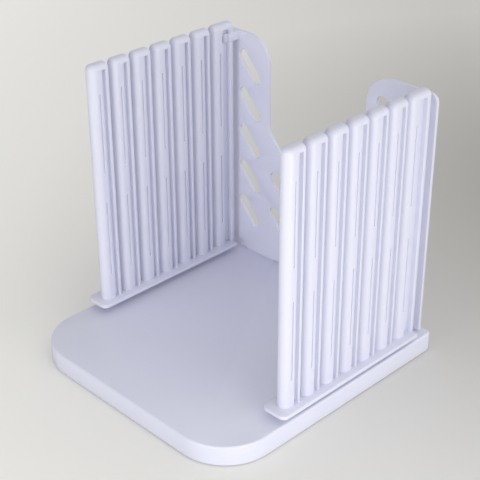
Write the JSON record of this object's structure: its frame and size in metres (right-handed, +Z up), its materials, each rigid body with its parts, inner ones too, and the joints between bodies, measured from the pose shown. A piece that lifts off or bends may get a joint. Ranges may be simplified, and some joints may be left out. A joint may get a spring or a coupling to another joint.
{
  "type": "bread slicer guide",
  "caption": "Folding bread slicing guide: a flat board, a slotted back panel and two hinged comb walls whose gaps steer a knife through the loaf in even slices.",
  "frame": {"origin": "centre of the object's footprint, on the surface it stands on", "axes": "+Z up, -Y the open front where the combs end, +X from the left comb to the right comb"},
  "size_m": [0.1626, 0.165, 0.1632],
  "materials": {
    "white_plastic": "semi-gloss moulded ABS, white with a lavender tint",
    "pin_plastic": "moulded acetal, white",
    "pad_rubber": "matte grey thermoplastic rubber"
  },
  "bodies": {
    "base": {"base_plate": "white_plastic", "back_panel": "white_plastic", "pad_front_left": "pad_rubber", "pad_front_right": "pad_rubber", "pad_back_left": "pad_rubber", "pad_back_right": "pad_rubber", "left_lower_hinge_pin": "pin_plastic", "left_upper_hinge_pin": "pin_plastic", "right_lower_hinge_pin": "pin_plastic", "right_upper_hinge_pin": "pin_plastic"},
    "left_comb": {"left_comb": "white_plastic"},
    "right_comb": {"right_comb": "white_plastic"}
  },
  "joints": [
    {"name": "left_comb_swing", "type": "hinge", "parent": "base", "child": "left_comb", "pos_m": [-0.0733, 0.0676, 0.016], "axis": [0, 0, 1], "range_deg": [0, 90]},
    {"name": "right_comb_swing", "type": "hinge", "parent": "base", "child": "right_comb", "pos_m": [0.066, 0.0583, 0.016], "axis": [0, 0, 1], "range_deg": [-90, 0]}
  ]
}
